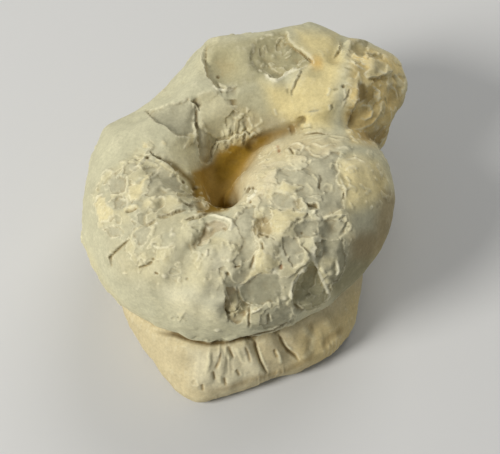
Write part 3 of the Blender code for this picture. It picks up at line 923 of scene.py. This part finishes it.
def broad_colours(stone, deep):
    """The colours of the whorl, the lower side and the hollow, with the painted shade and painted light of the
    zones.
    """
    colours = np.tile(linear("smooth"), (len(stone.points), 1))
    for tone, strength, size, seed, span in WASHES:
        colours = mix(colours, tone, strength * ease(span, lumps(stone.points, size, seed)))
    for tone, strength, softness, outline in COLOUR_ZONES:
        colours = mix(colours, tone, strength * area(stone, outline, softness, stone.pixels))
    lower = below_seam(stone)
    colours = mix(colours, "tan", LOWER_TAN * lower)
    for tone, strength, softness, outline in LEDGE_ZONES:
        colours = mix(colours, tone, strength * lower * area(stone, outline, softness, stone.pixels))
    return mix(colours, "ochre", HOLLOW_OCHRE * deep * (1 - HOLLOW_IN_VIEW * stone.seen))


def crust_colours(stone, colours, broken):
    """The cream crust with pale edges, partly painted highlight, and grey where it has come off."""
    rough, _, left, chip = crusts(stone)
    crusty, flaky = ease(CRUSTY, rough), ease(FLAKY, rough)
    cream = ease(CREAM_FROM, lumps(stone.points, *CREAM_NOISE))
    colours = mix(colours, "cream", CREAM_CRUST * cream * crusty)
    colours = mix(colours, "grey", BARE_GREY * ease(BARE_FROM, left) * crusty)
    # pale edges of the crust and the flakes, partly painted highlight
    colours = mix(colours, "lip", LIP_STRENGTH * lip_of(left, CRUST_LIP_AT) * crusty * broken)
    colours = mix(colours, "cream", CHIP_CREAM * ease(CHIP_EDGE, chip) * flaky)
    return mix(colours, "lip", LIP_STRENGTH * lip_of(chip, CHIP_LIP_AT) * flaky * broken)


def coloured(stone):
    """The stone with a colour at each vertex."""
    points = stone.points
    deep = deep_inside(points)
    broken = ease(LIP_FROM, lumps(points, *LIP_NOISE)) * (1 - deep)
    colours = crust_colours(stone, broad_colours(stone, deep), broken)
    for tone, strength, _, softness, outline in PATCHES:
        colours = mix(colours, tone, strength * area(stone, outline, softness, stone.shaken))
        # pale rims along the patches, partly painted highlight
        colours = mix(colours, "lip", RIM_STRENGTH * rim(stone, outline) * broken)
    for table, ray_of in ((LINES, camera_ray), (SIDE_LINES, side_ray)):
        for tone, strength, half_width, _, path in table:
            reach = half_width * LINE_COLOUR_REACH
            near, distance, progress = stone.near_line(path, reach, ray_of)
            share = np.zeros(len(points))
            share[near] = strength * (1 - distance / reach) * LINE_COLOUR_SHARE * tapered(progress)
            colours = mix(colours, tone, share)
    for tone, strength, radius, _, places in SPOTS:
        for spot in stone.spots(places):
            gap = np.linalg.norm(points - spot, axis=1) / (radius * SPOT_COLOUR_REACH)
            colours = mix(colours, tone, strength * ease(SPOT_FROM, gap))
    # painted highlight on what stands out, painted shade in what is sunk
    for tone, strength, rounds, span in RELIEF_PAINTED_LIGHT:
        share = strength * ease(span, stone.relief(rounds))
        colours = mix(colours, tone, share * (1 - deep) if tone == "lip" else share)
    # painted shade in the crease under the whorl
    crease = ease(SEAM_DARK_SUNK, stone.relief(SEAM_DARK_ROUNDS))
    colours = mix(colours, "dark", SEAM_PAINTED_SHADE * crease * ease(SEAM_DARK_NEAR, np.abs(seam_gap(points))))
    attribute = stone.obj.data.attributes.new("stone_colour", "FLOAT_COLOR", "POINT")
    attribute.data.foreach_set("color", np.column_stack([colours, np.ones(len(points))]).ravel())


def in_scene(name, data):
    """A new object, in the scene."""
    obj = bpy.data.objects.new(name, data)
    bpy.context.scene.collection.objects.link(obj)
    return obj


def modified(obj, kind, **settings):
    """The object with a modifier worked into its mesh."""
    modifier = obj.modifiers.new(kind, kind)
    for name, value in settings.items():
        setattr(modifier, name, value)
    bpy.context.view_layer.update()
    graph = bpy.context.evaluated_depsgraph_get()
    mesh = bpy.data.meshes.new_from_object(obj.evaluated_get(graph))
    obj.modifiers.clear()
    obj.data = mesh


def dense_copy(node):
    """The CAD node's shape on an even fine grid, with its facets smoothed away."""
    obj = in_scene("fossil_stone", node.data.copy())
    modified(obj, "REMESH", mode="VOXEL", voxel_size=VOXEL * MM)
    modified(obj, "SMOOTH", factor=SMOOTHING, iterations=SMOOTHING_ROUNDS)
    return obj


def thinned(obj, seen):
    """The object with few enough triangles, most of them on the photograph's side."""
    unseen = np.flatnonzero(seen < HIDDEN_BELOW).tolist()
    obj.vertex_groups.new(name="hidden").add(unseen, 1.0, "REPLACE")
    ratio = 1 - (1 - HIDDEN_SHARE) * len(unseen) / len(seen)
    modified(obj, "DECIMATE", vertex_group="hidden", vertex_group_factor=1.0, ratio=ratio)
    obj.vertex_groups.clear()
    obj.data.calc_loop_triangles()
    modified(obj, "DECIMATE", ratio=TRIANGLES / len(obj.data.loop_triangles))


def set_inputs(node, values):
    """A shader node with these input values."""
    for name, value in values.items():
        node.inputs[name].default_value = value
    return node


def stone_material():
    """Limestone: the vertex colours, broken up by grain and speckles, on a dull rough surface."""
    material = bpy.data.materials.new("limestone")
    material.use_nodes = True
    nodes, link = material.node_tree.nodes, material.node_tree.links.new
    shader = nodes["Principled BSDF"]
    set_inputs(shader, {"Metallic": 0.0, "IOR": STONE_IOR, "Specular IOR Level": STONE_SPECULAR})
    place = nodes.new("ShaderNodeTexCoord")

    def noise_of(values):
        """The output of a noise texture in the stone's own space."""
        texture = set_inputs(nodes.new("ShaderNodeTexNoise"), values)
        link(place.outputs["Object"], texture.inputs["Vector"])
        return texture.outputs["Fac"]

    def ranged(source, span, to):
        """A value that runs over the range to while its source runs over the span."""
        ends = zip(("From Min", "From Max", "To Min", "To Max"), span + to)
        part = set_inputs(nodes.new("ShaderNodeMapRange"), dict(ends))
        link(source, part.inputs["Value"])
        return part.outputs["Result"]

    grain, blotch = noise_of(GRAIN), noise_of(BLOTCHES)
    shade = nodes.new("ShaderNodeMath")
    shade.operation = "MULTIPLY"
    link(ranged(grain, NOISE_RANGE, GRAIN_SHADE), shade.inputs[0])
    link(ranged(blotch, NOISE_RANGE, BLOTCH_SHADE), shade.inputs[1])
    colour = nodes.new("ShaderNodeAttribute")
    colour.attribute_name = "stone_colour"
    tint = nodes.new("ShaderNodeVectorMath")
    tint.operation = "SCALE"
    link(colour.outputs["Color"], tint.inputs[0])
    link(shade.outputs["Value"], tint.inputs["Scale"])
    link(tint.outputs["Vector"], shader.inputs["Base Color"])
    link(ranged(blotch, (0.0, 1.0), STONE_ROUGHNESS), shader.inputs["Roughness"])
    bump = set_inputs(nodes.new("ShaderNodeBump"), {"Strength": BUMP_STRENGTH, "Distance": BUMP_HEIGHT * MM})
    link(grain, bump.inputs["Height"])
    link(bump.outputs["Normal"], shader.inputs["Normal"])
    return material


def floor():
    """A plain pale floor under the stone."""
    half = FLOOR_SIZE / 2
    corners = [(-half, -half, 0), (half, -half, 0), (half, half, 0), (-half, half, 0)]
    mesh = bpy.data.meshes.new("floor")
    mesh.from_pydata(corners, [], [(0, 1, 2, 3)])
    material = bpy.data.materials.new("pale_floor")
    material.use_nodes = True
    shader = material.node_tree.nodes["Principled BSDF"]
    set_inputs(shader, {"Base Color": FLOOR_COLOUR, "Roughness": FLOOR_ROUGHNESS})
    mesh.materials.append(material)
    in_scene("floor", mesh)


def camera():
    """The camera at the photograph's viewing angle."""
    data = bpy.data.cameras.new("camera")
    data.sensor_fit = "HORIZONTAL"
    data.sensor_width = SENSOR
    data.lens = SENSOR * VIEW_DISTANCE / (FRAME_WIDTH * PIXEL)
    obj = in_scene("camera", data)
    obj.location = EYE * MM
    obj.rotation_euler = (math.pi / 2 - VIEW_ELEVATION, 0, 0)
    bpy.context.scene.camera = obj


def lights():
    """A low soft lamp from the left, a weaker one from behind on the right, and an even pale surrounding."""
    for name, direction, distance, size, power in LAMPS:
        lamp = bpy.data.lights.new(name, "AREA")
        lamp.shape = "DISK"
        lamp.size = size
        lamp.energy = power
        lamp.color = LAMP_COLOUR
        obj = in_scene(name, lamp)
        obj.location = direction.normalized() * distance
        obj.rotation_euler = direction.to_track_quat("Z", "Y").to_euler()
    world = bpy.data.worlds.new("studio")
    bpy.context.scene.world = world
    world.use_nodes = True
    set_inputs(world.node_tree.nodes["Background"], {"Color": WORLD_COLOUR, "Strength": WORLD_STRENGTH})
    bpy.context.scene.view_settings.view_transform = "Standard"


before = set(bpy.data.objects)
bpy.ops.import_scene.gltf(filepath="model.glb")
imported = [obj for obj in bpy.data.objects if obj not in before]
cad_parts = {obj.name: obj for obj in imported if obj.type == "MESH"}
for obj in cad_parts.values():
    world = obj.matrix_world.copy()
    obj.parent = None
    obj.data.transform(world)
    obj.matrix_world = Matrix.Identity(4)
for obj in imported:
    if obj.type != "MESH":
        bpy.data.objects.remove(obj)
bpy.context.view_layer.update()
camera()
lights()
floor()
stone = dense_copy(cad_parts["ammonite"])
dense = Stone(stone)
sculpted(dense)
thinned(stone, dense.seen)
coloured(Stone(stone))
stone.data.shade_smooth()
stone.data.materials.clear()
stone.data.materials.append(stone_material())
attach(stone, "root")
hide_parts("ammonite")
